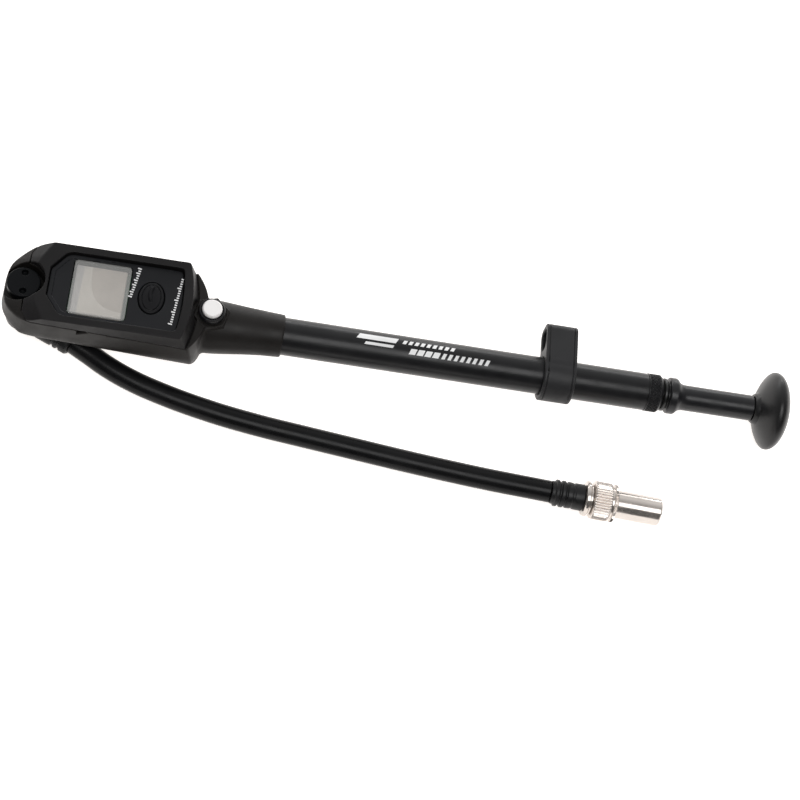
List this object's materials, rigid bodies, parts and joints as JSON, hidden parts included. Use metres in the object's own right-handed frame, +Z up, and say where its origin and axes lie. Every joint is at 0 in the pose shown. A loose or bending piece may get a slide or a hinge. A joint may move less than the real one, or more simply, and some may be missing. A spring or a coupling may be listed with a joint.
{
  "type": "shock suspension pump",
  "caption": "Slim hand pump with a digital gauge head, a straight barrel, a push-pull handle with a mushroom knob and a hose that ends in a screw-on valve chuck.",
  "frame": {"origin": "where the hose swivel's axis meets the plane that the pump lies on", "axes": "+X along the barrel from the gauge head to the handle knob, +Y to the side where the hose clip's tongue points, +Z up out of the gauge face"},
  "size_m": [0.2789, 0.0663, 0.0288],
  "materials": {
    "shell": "finely textured dark grey moulding",
    "cover": "finely textured dark grey moulding",
    "panel": "satin dark grey film",
    "lens": "clear window",
    "display": "grey-green liquid crystal behind glass",
    "button": "soft matt",
    "board": "solder mask",
    "steel": "bright",
    "satin_steel": "turned, satin",
    "anodised": "black anodised",
    "plug": "black anodised, satin",
    "barrel": "bead-blasted, dark anodised",
    "handle": "bead-blasted, dark anodised",
    "knob": "smooth matt",
    "clip": "moulded nylon",
    "hose": "smooth black hose skin",
    "boot": "matt",
    "seal": "matt",
    "nickel": "polished nickel plate",
    "acetal": "machined acetal"
  },
  "bodies": {
    "pump_body": {"head_body": "shell", "head_cover": "cover", "face_panel": "panel", "display_lens": "lens", "display_module": "display", "circuit_board": "board", "mode_switch": "steel", "pressure_sensor": "steel", "coin_cell": "steel", "battery_door": "shell", "cover_screw_1": "steel", "cover_screw_2": "steel", "cover_screw_3": "steel", "cover_screw_4": "steel", "bleed_collar": "anodised", "bleed_spring": "steel", "check_valve_seat": "acetal", "check_valve_cup": "seal", "barrel_tube": "barrel", "barrel_ring": "seal", "end_cap": "anodised", "rod_guide": "acetal", "rod_wiper": "seal"},
    "hose_swivel": {"swivel_elbow": "anodised", "swivel_ring_lower": "seal", "swivel_ring_upper": "seal", "swivel_plug": "plug", "swivel_boot": "boot", "hose": "hose", "chuck_ferrule": "boot", "chuck_tail": "nickel", "chuck_pin": "steel"},
    "chuck": {"chuck_collar": "nickel", "chuck_gasket": "seal"},
    "bleed_button": {"bleed_button": "satin_steel"},
    "mode_button": {"mode_button": "button"},
    "clip": {"hose_clip": "clip"},
    "piston": {"piston_head": "acetal", "piston_ring": "seal"},
    "handle": {"piston_rod": "steel", "top_out_ring": "seal", "bumper_ring": "seal", "handle_stem": "handle", "handle_knob": "knob"}
  },
  "joints": [
    {"name": "piston_slide", "type": "slide", "parent": "pump_body", "child": "piston", "axis": [1, 0, 0], "range_m": [0, 0.1275]},
    {"name": "handle_spin", "type": "hinge", "parent": "piston", "child": "handle", "pos_m": [0.082, 0, 0.014], "axis": [1, 0, 0], "continuous": true},
    {"name": "hose_swivel", "type": "hinge", "parent": "pump_body", "child": "hose_swivel", "pos_m": [0, 0, 0], "axis": [0, 0, 1], "range_deg": [-300, 5]},
    {"name": "chuck_spin", "type": "hinge", "parent": "hose_swivel", "child": "chuck", "pos_m": [0.22816, -0.04253, 0.0067], "axis": [0.999, -0.0454, 0], "continuous": true},
    {"name": "bleed_press", "type": "slide", "parent": "pump_body", "child": "bleed_button", "axis": [0, 0, -1], "range_m": [0, 0.0008], "stiffness_N_per_m": 2000, "deforming": ["bleed_spring"]},
    {"name": "mode_press", "type": "slide", "parent": "pump_body", "child": "mode_button", "axis": [0, 0, -1], "range_m": [0, 0.0006], "stiffness_N_per_m": 1500},
    {"name": "clip_slide", "type": "slide", "parent": "pump_body", "child": "clip", "axis": [1, 0, 0], "range_m": [-0.09, 0.0266]}
  ]
}
